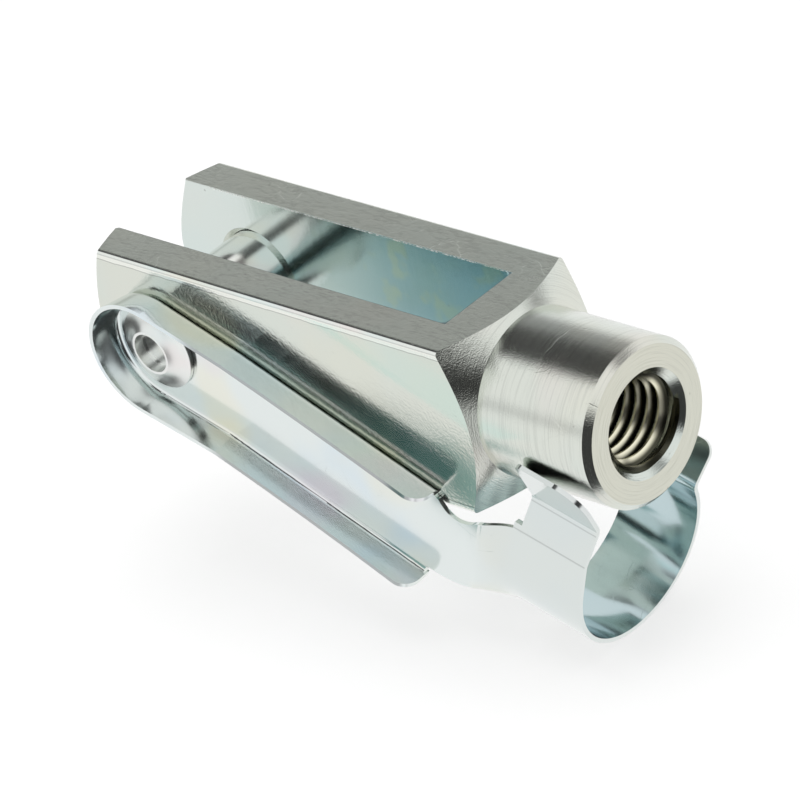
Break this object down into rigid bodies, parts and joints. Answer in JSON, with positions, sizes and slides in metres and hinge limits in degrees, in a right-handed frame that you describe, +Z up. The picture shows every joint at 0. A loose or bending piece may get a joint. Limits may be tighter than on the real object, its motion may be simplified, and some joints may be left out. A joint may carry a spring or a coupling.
{
  "type": "fork head with spring clip pin",
  "caption": "Square steel fork head with a threaded neck and a clevis pin riveted to a spring clip that snaps over the neck.",
  "frame": {"origin": "where the pin's axis crosses the fork's axis, midway between the ears", "axes": "+X along the fork towards the threaded neck, +Y along the pin away from the clip, +Z up, square to the slot's open sides"},
  "size_m": [0.0719, 0.026, 0.0373],
  "materials": {
    "fork_steel": "zinc plated, blue passivated, drawn and turned",
    "pin_steel": "zinc plated, turned",
    "clip_steel": "zinc plated, smooth spring sheet"
  },
  "bodies": {
    "fork": {"fork_head": "fork_steel"},
    "pin": {"clevis_pin": "pin_steel"},
    "clip": {"spring_clip": "clip_steel"}
  },
  "joints": [
    {"name": "pin_slide", "type": "slide", "parent": "fork", "child": "pin", "axis": [0, -1, 0], "range_m": [0, 0.0215]},
    {"name": "clip_swing", "type": "hinge", "parent": "pin", "child": "clip", "pos_m": [0, 0, 0], "axis": [0, 1, 0], "range_deg": [-18.3, 315], "deforming": ["spring_clip"]}
  ]
}
